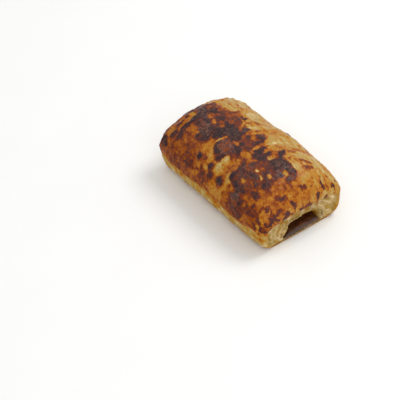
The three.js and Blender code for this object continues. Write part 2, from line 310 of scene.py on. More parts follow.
PALE_MARKS = [
    (-35.5, -4, 3.2, 2.2, -20, 0.54, -0.2),     # amber windows in the charred band
    (-29, -6.6, 2.8, 1.6, -25, 0.44, -0.2),
    (-23.5, -3.6, 3.4, 2.0, -25, 0.60, -0.2),
    (-21.5, 2.4, 3.0, 1.6, -20, 0.60, -0.2),
    (-46, 2, 2.0, 1.6, -20, 0.48, -0.1),
    (-12, 3.4, 2.0, 1.6, -20, 0.54, -0.1),
    (-4.5, 5.5, 2.4, 2.4, -10, 0.48, 0),
    (-3.5, -0.8, 1.6, 1.4, 0, 0.56, -0.1),
    (2.5, 4, 3, 1.8, -10, 0.52, -0.1),
    (-1.5, -8.8, 3.4, 1.4, 0, 0.42, -0.2),
    (11.2, -1, 1.7, 3.6, 8, 0.38, -0.2),
    (17.2, 2.2, 1.2, 2.4, 10, 0.42, -0.2),
    (24.4, 0.2, 2.3, 3.2, 0, 0.40, -0.3),
    (24.4, -1, 1.1, 1.4, 0, 0.16, -0.1),
    (13, -6, 2, 1.4, 0, 0.56, -0.1),
    (12, -11, 4.4, 2.4, 0, 0.42, -0.2),
    (12, -9, 2, 1.2, 0, 0.32, -0.1),
    (18, -12.5, 3, 1.6, -10, 0.54, -0.1),
    (42.4, -1, 1.8, 1.6, 0, 0.34, -0.2),
    (44.5, -6, 2, 3, 10, 0.50, -0.1),
    (38.4, -12, 1.8, 1.5, 10, 0.34, -0.1),
    (28.9, -15, 1.5, 1.2, 10, 0.08, -0.1),
    (35.6, -17, 2.2, 0.8, -25, 0.10, -0.1),
    (26.2, -25.8, 2.0, 1.3, -12, 0.36, -0.2),
    (34, -23.6, 2, 1, 0, 0.56, 0),
    (31.5, -11, 2.4, 1.4, 0, 0.58, 0),
    (42.5, -23, 2.2, 2.4, 0, 0.54, -0.1),
    (34, -33.4, 4.5, 2, 16, 0.56, -0.1),
    (41, -33, 3, 2, 10, 0.56, 0),
    (-34.5, -19.5, 2.8, 1.8, -10, 0.50, 0),
    (-45.2, -19, 1.7, 9.6, 6, 0.43, -0.3),
    (-46.8, -12, 2.2, 2.6, -30, 0.30, -0.2),
    (-51.5, -31, 2.6, 3.8, 0, 0.40, -0.2),
    (-50.8, -21, 1.6, 5, 0, 0.46, -0.1),
    (-12.4, -14.5, 1.1, 5.4, -12, 0.25, -0.1),  # pale streak beside the blister
    (-14.4, -23, 2.4, 3.6, -30, 0.38, 0),
    (-10, -26, 2, 3.6, 20, 0.35, 0),
    (-5.6, -29, 2.0, 3.0, 0, 0.33, 0),
    (-13, -36.5, 2.4, 1.6, 0, 0.40, 0),
    (-5, -35.6, 2.4, 2, 0, 0.36, 0),
    (17, -32.5, 3, 1.8, -30, 0.28, 0),
    (14.4, -29, 1.6, 3, 0, 0.30, 0),
    (3.4, -22, 1.8, 3, 0, 0.16, 0),             # palest places of the valley
    (2.8, -29, 1.4, 4.4, 0, 0.18, 0),
    (14.6, 13, 1.5, 6, -22, 0.17, 0),           # and of the straw flank
    (11.8, 22, 1.3, 2.2, -23, 0.20, 0.1),
    (32, 22.5, 2.6, 5, -30, 0.15, 0),
    (40.5, 9.6, 4.6, 2.2, 0, 0.13, 0),
    (-8.5, 9.8, 1.1, 3.2, -28, 0.12, 0),
    (-22, 22, 3.6, 4.8, -23, 0.16, 0),
    (-35.2, 23, 2.4, 3.4, -23, 0.14, 0),
    (-38, 13.5, 4, 2, -10, 0.18, 0),
]

# Where a painted sheen, a greyish reflection, lies on the darkest skin; the sixth number is its
# strength
PAINTED_SHEEN_MARKS = [
    (-4, -15.6, 7.4, 5.2, -8, 1.0, 0),
    (-28, -16, 7, 5, -20, 0.8, 0),
    (-43, -6, 7, 3.4, -12, 0.5, 0),
    (-12, -4, 6, 5, 0, 0.3, 0),
    (-8, 4.5, 2, 3, 0, 0.6, 0),
    (36, 1, 8, 4.4, 0, 0.5, 0),
    (28, -20, 10, 9, 0, 0.4, 0),
    (28, -38, 4, 6, 0, 0.8, 0),
]

# ---------------------------------------------------------------- helpers for shapes


def smooth_step(low, high, value):
    share = np.clip((value - low) / (high - low), 0, 1)
    return share * share * (3 - 2 * share)


def blend(a, b, share):
    return a + (b - a) * share


def signed_power(value, power):
    return np.sign(value) * np.abs(value) ** power


def end_round(distance, reach, power):
    """0 further than reach from an end, rising to 1 at the end."""
    share = np.clip(1 - distance / reach, 0, 1)
    return 1 - (1 - share**power) ** (1 / power)


def grain(places, size, octaves, seed):
    """Smooth noise about 0 at each place, its lumps as large as size, which may differ by axis.
    Every use has a seed of its own, so that no two patterns match."""
    shift = np.array([7.3, 3.1, 11.7]) * (seed + 1)
    spots = (np.asarray(places) / np.array(size) + shift).reshape(-1, 3).tolist()
    values = [noise.fractal(spot, 1.0, 2.1, octaves) for spot in spots]
    return np.array(values).reshape(places.shape[:-1])


def nearest_cells(places, size, seed):
    """Distances from each place to the two nearest of many scattered points, in parts of size."""
    shift = np.array([2.9, 13.3, 5.7]) * (seed + 1)
    spots = (np.asarray(places) / size + shift).reshape(-1, 3).tolist()
    reach = np.array([noise.voronoi(spot, distance_metric="DISTANCE")[0][:2] for spot in spots])
    return reach.reshape(*places.shape[:-1], 2)


def bubbles(places, size, seed):
    """Round cells of about that size: 1 at the middle of each, 0 where two meet."""
    reach = nearest_cells(places, size, seed)
    return smooth_step(0, 0.7, reach[..., 1] - reach[..., 0])


def freckles(places, spacing, seed):
    """Scattered round spots: 1 at the middle of each, 0 between them."""
    return 1 - smooth_step(0.16, 0.34, nearest_cells(places, spacing, seed)[..., 0])


def even_steps(curve, start, stop, count, weight=None):
    """Parameters at equal steps along a curve, the stop left out."""
    samples = np.linspace(start, stop, 4001)
    points = curve(samples)
    steps = np.linalg.norm(np.diff(points, axis=0), axis=1)
    if weight is not None:
        steps = steps * weight(points[:-1])
    lengths = np.concatenate([[0], np.cumsum(steps)])
    return np.interp(np.linspace(0, lengths[-1], count + 1)[:-1], lengths, samples)


def undercut(points):
    """The ends lean in towards the base."""
    reach = smooth_step(HALF_LENGTH - UNDERCUT_REACH, HALF_LENGTH, np.abs(points[..., 0]))
    lift = np.clip(1 - points[..., 2] / UNDERCUT_HEIGHT, 0, 1) ** 2
    moved = points.copy()
    moved[..., 0] -= np.sign(points[..., 0]) * END_UNDERCUT * reach * lift
    return moved


def smooth_skin(x, angle):
    """The outer form: x along the roll, angle round it from the +Y flank over the crown."""
    x, angle = np.broadcast_arrays(np.asarray(x, float), np.asarray(angle, float))
    front, back = HALF_LENGTH - x, HALF_LENGTH + x
    fall = end_round(front, FRONT_RADIUS, FRONT_POWER) + end_round(back, BACK_RADIUS, BACK_POWER)
    taper = end_round(front, PLAN_RADIUS, 2) + end_round(back, PLAN_RADIUS, 2)
    lip = end_round(front, LIP_REACH, 2) + end_round(back, LIP_REACH, 2)
    crown = HEIGHT - END_DROP * fall - RIDGE_SAG * (x / HALF_LENGTH) ** 2
    half = WIDTH / 2 - END_TAPER * taper - LIP_ROUND * lip
    along, over = np.cos(angle), np.sin(angle)
    top = over >= 0
    y = half * signed_power(along, np.where(top, 2 / CROWN_POWER, 2 / FLANK_POWER))
    rise = (crown - BELT_HEIGHT) * np.maximum(over, 0) ** (2 / CROWN_POWER)
    depth = (BELT_HEIGHT + FLOOR_SINK) * np.maximum(-over, 0) ** (2 / FLANK_POWER)
    z = np.where(top, BELT_HEIGHT + rise, np.maximum(0, BELT_HEIGHT - depth))
    return np.stack([x, y, z], axis=-1)


def slab_point(x, angle, shift, half, bottom, top, top_power):
    """A flat oval section with its widest line a third of the way up."""
    middle = bottom + (FILLING_TOP - bottom) / 3
    over = np.sin(angle)
    rise = np.where(over >= 0, top - middle, middle - bottom)
    power = np.where(over >= 0, top_power, FILLING_POWER)
    y = shift + half * signed_power(np.cos(angle), 2 / power)
    z = middle + rise * signed_power(over, 2 / power)
    return np.stack(np.broadcast_arrays(x, y, z), axis=-1)


def mouth_point(end, inward, angle):
    """The open end's hollow: wide at the face, and as small as the filling behind it."""
    narrow = smooth_step(0, 1, inward)
    shift = MOUTH_SHIFT[end] * (1 - narrow)
    top = blend(MOUTH_TOP, FILLING_TOP + CLEARANCE, narrow)
    half = blend(MOUTH_HALF_WIDTH, FILLING_HALF_WIDTH + CLEARANCE, narrow)
    power = blend(MOUTH_POWER, FILLING_POWER, narrow)
    x = end * (HALF_LENGTH - MOUTH_DEPTH * inward)
    return slab_point(x, angle, shift, half, FILLING_BOTTOM - CLEARANCE, top, power)


# ---------------------------------------------------------------- the roll of dough


def dough_columns():
    """Angles of the columns round the skin and round the mouth, matched one to one."""
    corner = CORNER_SHARE * FILLING_HALF_WIDTH
    floor_weight = lambda points: np.where(points[:, 2] > 0, 1, FLOOR_WEIGHT)
    corner_weight = lambda points: np.where(np.abs(points[:, 1]) > corner, CORNER_WEIGHT, 1)
    middle = lambda angles: smooth_skin(0, angles)
    mouth = lambda angles: mouth_point(1, 1, angles)
    skin = np.concatenate([
        even_steps(middle, 0, math.pi, CROWN_COLUMNS),
        even_steps(middle, math.pi, 2 * math.pi, BASE_COLUMNS, floor_weight),
    ])
    inner = np.concatenate([
        even_steps(mouth, 0, math.pi, CROWN_COLUMNS),
        even_steps(mouth, math.pi, 2 * math.pi, BASE_COLUMNS, corner_weight),
    ])
    return skin, inner


def girth(angles):
    """Distance along the middle section from the ridge, plus towards +Y, for each angle."""
    samples = np.linspace(-math.pi / 2, 3 * math.pi / 2, 8001)
    points = smooth_skin(0, samples)
    steps = np.linalg.norm(np.diff(points, axis=0), axis=1)
    lengths = np.concatenate([[0], np.cumsum(steps)])
    ridge = np.interp(math.pi / 2, samples, lengths)
    wrapped = np.where(angles > 3 * math.pi / 2, angles - 2 * math.pi, angles)
    return ridge - np.interp(wrapped, samples, lengths)


def dough_rows():
    """The smooth form as a grid of points, with each row's travel along the roll and its depth.
    Depth is 0 on the skin, up to 1 across an open end, up to 2 in its mouth and 2 in the tunnel."""
    skin_angles, mouth_angles = dough_columns()
    ridge = lambda turns: smooth_skin(HALF_LENGTH * np.sin(turns), math.pi / 2)
    turns = even_steps(ridge, -math.pi / 2, math.pi / 2, SKIN_ROWS - 1)
    turns = np.append(turns, math.pi / 2)
    steps = np.linalg.norm(np.diff(ridge(turns), axis=0), axis=1)
    travels = np.concatenate([[0], np.cumsum(steps)])
    travels = travels - np.interp(0, turns, travels)
    rows, travel, depth = [], [], []

    def add(points, place, share):
        rows.append(points)
        travel.append(place)
        depth.append(share)

    def end_place(end, share):
        return (travels[-1] if end > 0 else travels[0]) + end * share * FACE_TRAVEL

    def face(end, share):
        outer = smooth_skin(end * HALF_LENGTH, skin_angles)
        inner = mouth_point(end, 0, mouth_angles)
        points = blend(outer, inner, share)
        points[:, 0] = end * HALF_LENGTH
        add(undercut(points), end_place(end, share), share)

    def mouth(end, inward):
        points = undercut(mouth_point(end, inward, mouth_angles))
        add(points, end_place(end, 1 + inward), 1 + inward)

    for turn, place in zip(turns, travels):
        add(undercut(smooth_skin(HALF_LENGTH * math.sin(turn), skin_angles)), place, 0)
    face_shares = [(row + 1) / (FACE_ROWS + 1) for row in range(FACE_ROWS)]
    mouth_shares = [row / (MOUTH_ROWS - 1) for row in range(MOUTH_ROWS)]
    for share in face_shares:
        face(1, share)
    for share in mouth_shares:
        mouth(1, share)
    for row in range(TUNNEL_ROWS):
        tunnel = mouth_point(1, 1, mouth_angles)
        tunnel[:, 0] = (HALF_LENGTH - MOUTH_DEPTH) * (1 - 2 * (row + 1) / (TUNNEL_ROWS + 1))
        add(tunnel, 0, 2)
    for share in reversed(mouth_shares):
        mouth(-1, share)
    for share in reversed(face_shares):
        face(-1, share)
    return np.array(rows), np.array(travel), np.array(depth), girth(skin_angles)


def grid_normals(points):
    """Outward directions of a grid that closes on itself both ways."""
    along = np.roll(points, -1, axis=0) - np.roll(points, 1, axis=0)
    around = np.roll(points, -1, axis=1) - np.roll(points, 1, axis=1)
    normals = np.cross(around, along)
    return normals / np.maximum(np.linalg.norm(normals, axis=-1, keepdims=True), 1e-9)


def mark_share(oval, travel, girths, ragged, grow=0, grow_share=0):
    """How strongly a mark's oval covers each place, from 0 to 1, its edge made uneven."""
    along, around, reach_along, reach_around, turn = oval
    small = min(reach_along, reach_around)
    more = grow + grow_share * small
    cos, sin = math.cos(math.radians(turn)), math.sin(math.radians(turn))
    dt, dg = travel - along, girths - around
    away = np.hypot(
        (dt * cos + dg * sin) / (reach_along + more), (dg * cos - dt * sin) / (reach_around + more))
    size = small + more
    soft = EDGE_SOFT / size + EDGE_SHARE
    uneven = ragged * min(1, size / 6) / size
    return 1 - smooth_step(1 - soft, 1 + soft, away + uneven)


def unmarked_crust(plan, travel, girths, ragged):
    """Browning before any mark is laid, and how far each place is down an end slope."""
    level_round = girths + 2.6 * grain(plan, 8, 2, 9) + 0.8 * ragged
    browning = np.interp(level_round, BASE_ROUND, BASE_BROWNING)
    browning += 0.06 * grain(plan, 11, 2, 8)
    end_slope = np.maximum(smooth_step(*FRONT_SLOPE, travel), smooth_step(*BACK_SLOPE, -travel))
    slope_browning = np.interp(level_round, SLOPE_ROUND, SLOPE_BROWNING)
    return blend(browning, slope_browning + 0.16 * grain(plan, 9, 3, 28), end_slope), end_slope


def lay_marks(browning, along, around, ragged):
    """The browning once every mark is laid, the painted sheen, and how far the marks lift the skin."""
    lift = np.zeros_like(along)
    bloom = np.zeros_like(along)
    for *oval, tone, _ in BROAD_MARKS:
        share = BROAD_STRENGTH * mark_share(oval, along, around, ragged * 1.6)
        browning = blend(browning, tone, share)
    for *oval, tone, _ in DARK_MARKS:
        halo = mark_share(oval, along, around, ragged, HALO_REACH, HALO_SHARE)
        halo_tone = min(HALO_BROWNING, 0.8 * tone)
        browning = blend(browning, np.maximum(browning, halo_tone), 0.7 * halo)
    for *oval, tone, rise in DARK_MARKS + PALE_MARKS:
        share = mark_share(oval, along, around, ragged)
        browning = blend(browning, tone, share)
        lift += rise * share
    for *oval, strength, _ in PAINTED_SHEEN_MARKS:
        share = mark_share(oval, along, around, ragged)
        bloom = blend(bloom, strength, share)
    return browning, bloom, lift


def scatter_spots(browning, plan, warped, girths, end_slope):
    """The browning with patches on the end slopes, spots there and low on the dark flank, and thin
    veins on the pale flank."""
    patches = smooth_step(0.10, 0.26, grain(warped, 6, 3, 29) - 0.006 * (girths + 10))
    browning = blend(browning, np.maximum(browning, PATCH_BROWNING), patches * end_slope)
    low_flank = smooth_step(*LOW_DARK_FLANK, -girths)
    few = smooth_step(-0.1, 0.3, grain(plan, 9, 2, 31))
    spots = freckles(warped, 4.2, 30) * few
    spotted = np.maximum(end_slope, 0.6 * low_flank)
    browning = blend(browning, np.maximum(browning, SPOT_BROWNING), spots * spotted)
    veins = smooth_step(0.10, 0.36, grain(warped, (7, 1.6, 1), 3, 32))
    veins = veins * smooth_step(*PALE_FLANK, girths)
    return browning + 0.24 * veins * smooth_step(-0.35, 0.25, grain(plan, 14, 2, 33))


def oven_colour(travel, girths):
    """Browning and painted sheen of the crust before the open ends and the pale wall, the marks' lift,
    and the streaks and tufts of its fibres."""
    level = np.zeros_like(travel)
    plan = np.stack([travel, girths, level], axis=-1)
    slanted = np.stack([travel + 0.5 * girths, girths, level], axis=-1)
    warp_along = 1.1 * grain(plan, 6, 3, 1) + 0.4 * grain(plan, 2, 2, 2)
    warp_round = 1.1 * grain(plan, 6, 3, 3) + 0.4 * grain(plan, 2, 2, 4)
    warped = plan + np.stack([warp_along, warp_round, level], axis=-1) * 1.3
    ragged = 2.2 * grain(plan, 2.6, 3, 5)
    streaks = grain(slanted, (14, 2.4, 1), 3, 6)
    tufts = grain(plan, (4, 2.4, 1), 3, 7)
    mottle = 0.6 * grain(plan, 3.6, 3, 10) + 0.5 * grain(plan, 1.7, 2, 20)
    browning, end_slope = unmarked_crust(plan, travel, girths, ragged)
    browning, bloom, lift = lay_marks(browning, travel + warp_along, girths + warp_round, ragged)
    browning = scatter_spots(browning, plan, warped, girths, end_slope)
    middling = smooth_step(0.25, 0.5, browning)
    scorched = smooth_step(0.6, 0.85, browning)
    browning += mottle * (0.08 + 0.15 * middling + 0.12 * scorched)
    browning += (1 - middling) * 0.14 * streaks
    # painted highlight on the tops of the small blisters of charred crust, and painted shade where they
    # meet
    browning += scorched * 0.16 * (0.45 - bubbles(plan, 1.9, 27))
    return browning, bloom, lift + 0.25 * mottle * middling, streaks, tufts


def swell_height(x, y):
    """Height of the crust's lumps, and of the fine folds across its back end."""
    height = np.zeros_like(x)
    for along, across, reach_along, reach_across, rise in SWELLS:
        away = ((x - along) / reach_along) ** 2 + ((y - across) / reach_across) ** 2
        height += rise * np.clip(1 - away, 0, None) ** 2
    back_end = 1 - smooth_step(*FOLDED_END, x)
    folds = np.sin((x + FOLD_BOW * y * y) * FOLD_RATE + 0.9 * np.sin(0.23 * y))
    height += FOLD_HEIGHT * back_end * folds
    return height


def crust_share(form):
    """1 on the browned crust and 0 on the pale wall below its wavy edge, the belt."""
    x, y, z = form[..., 0], form[..., 1], form[..., 2]
    belt = BELT_HEIGHT - BELT_WAVE * (1 + np.sin(0.1 * x + np.sign(y))) + 1.2 * grain(form, 7, 2, 13)
    belt += 2.2 * grain(form, 17, 2, 34)
    return smooth_step(belt - WALL_FADE, belt, z)


def crust_relief(form, browning, lift, streaks, tufts, lumps, fine):
    """Swellings, blisters, wrinkles and flakes, and the long fibres of the pale flank."""
    charred = smooth_step(0.62, 0.9, browning)
    pale = 1 - smooth_step(0.25, 0.5, browning)
    relief = swell_height(form[..., 0], form[..., 1]) + lift + 0.55 * lumps + 0.22 * fine
    relief += charred * (0.34 * bubbles(form, 2.9, 14) + 0.2 * grain(form, 1.3, 2, 15))
    relief += pale * (0.22 * streaks + 0.25 * tufts)
    flakes = 3.2 * grain(form, (22, 9, 9), 2, 16) + 0.35 * fine
    step = flakes - np.floor(flakes)
    return relief + FLAKE_HEIGHT * (smooth_step(0, 0.16, step) - step)


def lower_wall(form, tufts, lumps, fine):
    """Relief and browning of the pale wall, with faint leaves running along the roll."""
    height = form[..., 2]
    patches = grain(form, 6, 3, 17)
    leaf_run = height / WALL_LEAF + 1.6 * grain(form, (22, 9, 7), 3, 23)
    leaves = 0.5 + 0.5 * np.sin(2 * math.pi * leaf_run)
    relief = -WALL_INSET + (0.26 + 0.2 * patches) * leaves + 0.4 * lumps + 0.16 * fine
    browning = 0.15 + 0.10 * leaves + 0.22 * patches + 0.10 * tufts
    browning += 0.30 * (1 - smooth_step(0.5, 3.5, height)) + 0.14 * smooth_step(8, 17, height)
    return relief, browning


def torn_leaves(form, depth, girths, fine):
    """Leaves of dough wound round an open end's mouth, the cells between them, how deep both are
    torn, and where the sill is: the thin strip under the filling, which is hardly torn."""
    turns = girths / (2 * np.abs(girths).max())
    ring = depth * LEAF_TURNS + turns + 0.55 * grain(form, 9, 2, 18) + 0.16 * grain(form, 2.8, 2, 24)
    within = ring - np.floor(ring)
    leaf = smooth_step(0, 0.16, within) * (1 - smooth_step(0.3, 1, within))
    leaf = leaf * smooth_step(-0.5, 0.2, grain(form, 7, 2, 19))
    cells = bubbles(form, 2.8, 25)
    torn = 2.2 * leaf + 0.6 * cells + 0.25 * fine - TEAR_DEPTH
    sill = 1 - smooth_step(*SILL_HEIGHTS, form[..., 2])
    torn = blend(torn, 0.3 * cells + 0.25 * fine - SILL_TEAR, 0.9 * sill)
    return leaf, cells, torn, sill


def open_end(form, depth, browning, leaf, cells, torn, lumps):
    """Relief, browning and crumb across an open end, from the crust's lip to the mouth."""
    lip = 1 - smooth_step(*LIP_DEPTHS, depth)
    relief = np.minimum(0, (1 - lip) * torn)
    patchy = 0.5 + 0.9 * grain(form, 5, 2, 26)
    crumb_browning = 0.03 + 0.36 * leaf * np.clip(patchy, 0, 1) + 0.12 * lumps + 0.06 * cells
    return relief, blend(crumb_browning, np.maximum(browning, LIP_BROWNING), lip), 1 - lip


def inside_mouth(depth, leaf, torn, sill, tufts, lumps):
    """Relief and browning of the mouth: shrinking leaves that end flush with the filling."""
    calm = 1 - smooth_step(*MOUTH_DEPTHS, depth)
    relief = calm * np.minimum(0, 0.5 * torn) * (1 - 0.8 * sill)
    smear = smooth_step(*MOUTH_DEPTHS, depth + 0.2 * lumps)
    return relief, blend(0.06 + 0.16 * leaf + 0.10 * tufts, TUNNEL_BROWNING, smear)


def shape_dough():
    """Points of the finished roll, and the values that its finish reads at each of them."""
    form, travel, depth, girths = dough_rows()
    travel = travel[:, None] + np.zeros(form.shape[:2])
    depth = depth[:, None] + np.zeros(form.shape[:2])
    girths = girths[None, :] + np.zeros(form.shape[:2])
    x, z = form[..., 0], form[..., 2]
    skin = depth == 0
    face = (depth > 0) & (depth < 1)
    mouth = (depth >= 1) & (depth < 2)
    tunnel = depth >= 2
    resting = skin & (z <= 0)
    straight_out = np.stack([np.sign(x), 0 * x, 0 * x], axis=-1)
    normals = np.where(face[..., None], straight_out, grid_normals(form))

    baked, bloom, lift, streaks, tufts = oven_colour(travel, girths)
    lumps = grain(form, 8, 3, 11)
    fine = grain(form, 2.4, 3, 12)
    crust = crust_share(form)
    wall_relief, wall_browning = lower_wall(form, tufts, lumps, fine)
    relief = blend(wall_relief, crust_relief(form, baked, lift, streaks, tufts, lumps, fine), crust)
    browning = blend(wall_browning, baked, crust)
    crumb = 1 - crust

    leaf, cells, torn, sill = torn_leaves(form, depth, girths, fine)
    end_relief, end_browning, end_crumb = open_end(form, depth, browning, leaf, cells, torn, lumps)
    mouth_relief, mouth_browning = inside_mouth(depth, leaf, torn, sill, tufts, lumps)
    base_browning = 0.46 + 0.2 * lumps + 0.14 * tufts
    places = [face, mouth, tunnel, resting]
    relief = np.select(places, [end_relief, mouth_relief, 0, 0], relief)
    browning = np.select(
        places, [end_browning, mouth_browning, TUNNEL_BROWNING, base_browning], browning)
    crumb = np.select(places, [end_crumb, 1, crumb, BASE_CRUMB], crumb)

    to_lip = np.minimum(travel - travel[skin].min(), travel[skin].max() - travel)
    relief *= np.where(skin, blend(LIP_RELIEF, 1, smooth_step(0, LIP_FADE, to_lip)), 1)
    points = form + normals * relief[..., None]
    over = np.maximum(points[..., 2] - (HEIGHT - CROWN_SOFT), 0)
    points[..., 2] += CROWN_SOFT * np.tanh(over / CROWN_SOFT) - over
    points[..., 2] = np.where(resting, 0, np.maximum(points[..., 2], 0))
    glaze = smooth_step(-GLAZE_END, -GLAZE_FULL, -np.abs(girths)) * skin * (z > 0)
    looks = {
        "browning": np.clip(browning, 0, 1),
        # painted sheen, a greyish reflection, kept to the skin of the crust
        "bloom": bloom * crust * skin,
        "crumb": crumb,
        "glaze": glaze,
    }
    return points, looks


def closed_grid_mesh(name, points, values, wrap_rows):
    """A mesh from a grid that is wrapped round, its seams welded. values become point attributes."""
    rows, columns = points.shape[:2]
    spans = rows if wrap_rows else rows - 1
    shell = bmesh.new()
    bmesh.ops.create_grid(shell, x_segments=columns, y_segments=spans, size=1)
    layers = {key: shell.verts.layers.float.new(key) for key in values}
    for vertex in shell.verts:
        column = round((vertex.co.x + 1) / 2 * columns) % columns
        row = round((vertex.co.y + 1) / 2 * spans) % rows
        vertex.co = points[row, column] * MM
        for key, layer in layers.items():
            vertex[layer] = values[key][row, column]
    bmesh.ops.remove_doubles(shell, verts=shell.verts, dist=1e-7)
    bmesh.ops.recalc_face_normals(shell, faces=shell.faces)
    for side in shell.faces:
        side.smooth = True
    mesh = bpy.data.meshes.new(name)
    shell.to_mesh(mesh)
    shell.free()
    piece = bpy.data.objects.new(name, mesh)
    bpy.context.scene.collection.objects.link(piece)
    return piece


def shape_filling():
    """Points of the chocolate slab: rounded off to nothing at both ends, and lumpy in the mouths."""
    angles = np.linspace(0, 2 * math.pi, FILLING_COLUMNS, endpoint=False)
    turns = np.linspace(-math.pi / 2, math.pi / 2, FILLING_ROWS)
    reach = HALF_LENGTH - FILLING_SETBACK + FILLING_BULGE
    middle = (FILLING_BOTTOM + FILLING_TOP) / 2
    rows = []
    for turn in turns:
        x = reach * math.sin(turn)
        size = min(1, math.cos(turn) * FILLING_END_STEEPNESS) ** FILLING_END_POWER
        ring = slab_point(x, angles, 0, FILLING_HALF_WIDTH, FILLING_BOTTOM, FILLING_TOP, FILLING_POWER)
        ring[:, 1] *= size
        ring[:, 2] = middle + (ring[:, 2] - middle) * size
        rows.append(ring)
    points = np.array(rows)
    x = points[..., 0]
    near_face = smooth_step(HALF_LENGTH - MOUTH_DEPTH * 0.6, HALF_LENGTH - 2, np.abs(x))
    upper = smooth_step(middle, FILLING_TOP, points[..., 2])
    points[..., 2] += near_face * upper * (0.5 + 0.9 * grain(points, (5, 6, 5), 2, 21))
    points[..., 0] += np.sign(x) * near_face * 0.5 * grain(points, 3.5, 2, 22)
    return undercut(points)


# ---------------------------------------------------------------- finishes


class Value:
    """A shader socket that can stand in a sum: each operator adds its Math node."""

    def __init__(self, finish, socket):
        self.finish = finish
        self.socket = socket

    def maths(self, operation, first, second):
        return self.finish.node("ShaderNodeMath", {"operation": operation}, {0: first, 1: second})

    def __add__(self, other):
        return self.maths("ADD", self, other)

    def __sub__(self, other):
        return self.maths("SUBTRACT", self, other)

    def __rsub__(self, other):
        return self.maths("SUBTRACT", other, self)

    def __mul__(self, other):
        return self.maths("MULTIPLY", self, other)

    def __abs__(self):
        return self.maths("ABSOLUTE", self, 0)

    __radd__ = __add__
    __rmul__ = __mul__


def paint(code):
    """A linear colour from a web colour code."""
    parts = [int(code[i:i + 2], 16) / 255 for i in (1, 3, 5)]
    linear = [c / 12.92 if c <= 0.04045 else ((c + 0.055) / 1.055) ** 2.4 for c in parts]
    return (*linear, 1)


class Finish:
    """A material and the one way in which nodes are added to it."""

    def __init__(self, name):
        self.material = bpy.data.materials.new(name)
        self.material.use_nodes = True
        self.tree = self.material.node_tree
        self.tree.nodes.clear()

    def node(self, kind, settings=None, sockets=None, output=0):
        made = self.tree.nodes.new(kind)
        for key, setting in (settings or {}).items():
            if key == "stops":
                self.set_stops(made.color_ramp, setting)
            else:
                setattr(made, key, setting)
        for key, value in (sockets or {}).items():
            if isinstance(value, Value):
                self.tree.links.new(value.socket, made.inputs[key])
            else:
                made.inputs[key].default_value = value
        return Value(self, made.outputs[output])

    @staticmethod
    def set_stops(ramp, stops):
        while len(ramp.elements) < len(stops):
            ramp.elements.new(1)
        for element, (position, colour) in zip(ramp.elements, stops):
            element.position = position
            element.color = colour

    def specks(self, size, detail=2, stretch=(1, 1, 1), roughness=0.5):
        """Noise from 0 to 1 with lumps of about that size in millimetres."""
        place = self.node("ShaderNodeTexCoord", output="Object")
        place = self.node("ShaderNodeMapping", {}, {"Vector": place, "Scale": stretch}, "Vector")
        return self.node(
            "ShaderNodeTexNoise", {},
            {"Vector": place, "Scale": 1 / (size * MM), "Detail": detail, "Roughness": roughness}, 0)

    def attribute(self, name):
        return self.node("ShaderNodeAttribute", {"attribute_name": name}, {}, "Fac")

    def ramp(self, share, stops):
        return self.node("ShaderNodeValToRGB", {"stops": stops}, {"Fac": share}, "Color")

    def step(self, value, low, high, out_low=0.0, out_high=1.0):
        return self.node(
            "ShaderNodeMapRange", {"interpolation_type": "SMOOTHSTEP"},
            {"Value": value, "From Min": low, "From Max": high, "To Min": out_low, "To Max": out_high})

    def mix(self, share, first, second):
        return self.node("ShaderNodeMix", {"data_type": "RGBA"}, {0: share, 6: first, 7: second}, 2)

    def surface(self, sockets):
        shader = self.node("ShaderNodeBsdfPrincipled", {}, sockets)
        self.node_output(shader)
        return self.material

    def node_output(self, shader):
        end = self.tree.nodes.new("ShaderNodeOutputMaterial")
        self.tree.links.new(shader.socket, end.inputs["Surface"])


BAKED_COLOURS = [
    (0.00, "#e6cda2"),     # pale dough
    (0.10, "#c3a66b"),
    (0.20, "#ae9150"),     # straw
    (0.32, "#b27f2a"),
    (0.44, "#a96312"),     # amber
    (0.56, "#8e460a"),
    (0.66, "#6f2e11"),     # red-brown
    (0.76, "#58291e"),
    (0.88, "#402423"),
    (1.00, "#281b1d"),     # charred
]
# greyish colour of the painted sheen and painted glints on the darkest crust
PAINTED_SHEEN_COLOUR = "#8e6855"
BUMP_DEPTH = 0.4          # millimetres


